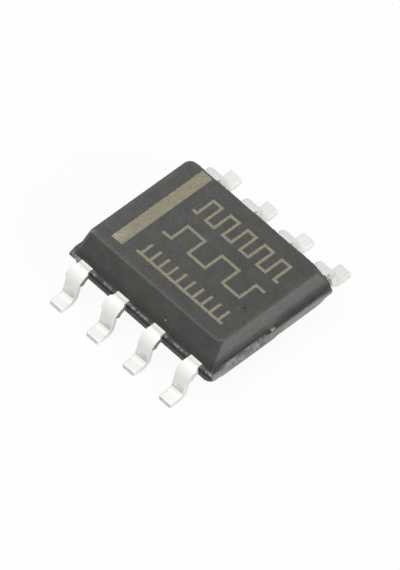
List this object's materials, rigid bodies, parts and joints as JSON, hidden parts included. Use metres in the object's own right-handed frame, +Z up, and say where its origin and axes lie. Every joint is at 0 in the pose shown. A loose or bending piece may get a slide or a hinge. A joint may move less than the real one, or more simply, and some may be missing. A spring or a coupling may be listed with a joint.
{
  "type": "timer chip",
  "caption": "Small-outline timer chip: drafted black resin body with a pale bar at the lead 1 end and two rows of tinned gull-wing leads for soldering flat on a board.",
  "frame": {"origin": "on the seating plane under the feet, below the centre of the body", "axes": "+Z up from the board, +X along the rows of leads with the lead 1 end at -X, +Y across the rows with leads 1 to 4 at -Y"},
  "size_m": [0.0051, 0.006, 0.0016],
  "materials": {
    "resin": "fine matt moulding compound with speckle",
    "tinned_lead": "matt tin plating over copper alloy, bare copper at the trimmed ends",
    "copper": "bare stamped copper alloy",
    "attach_paste": "silver-filled adhesive",
    "silicon": "polished silicon with a passivated top",
    "bond_gold": "drawn gold wire"
  },
  "bodies": {
    "root": {"bond_wire_1": "bond_gold", "bond_wire_2": "bond_gold", "bond_wire_3": "bond_gold", "bond_wire_4": "bond_gold", "bond_wire_5": "bond_gold", "bond_wire_6": "bond_gold", "bond_wire_7": "bond_gold", "bond_wire_8": "bond_gold", "die_attach": "attach_paste", "die_pad": "copper", "lead_1": "tinned_lead", "lead_2": "tinned_lead", "lead_3": "tinned_lead", "lead_4": "tinned_lead", "lead_5": "tinned_lead", "lead_6": "tinned_lead", "lead_7": "tinned_lead", "lead_8": "tinned_lead", "moulded_body": "resin", "timer_die": "silicon"}
  },
  "joints": []
}
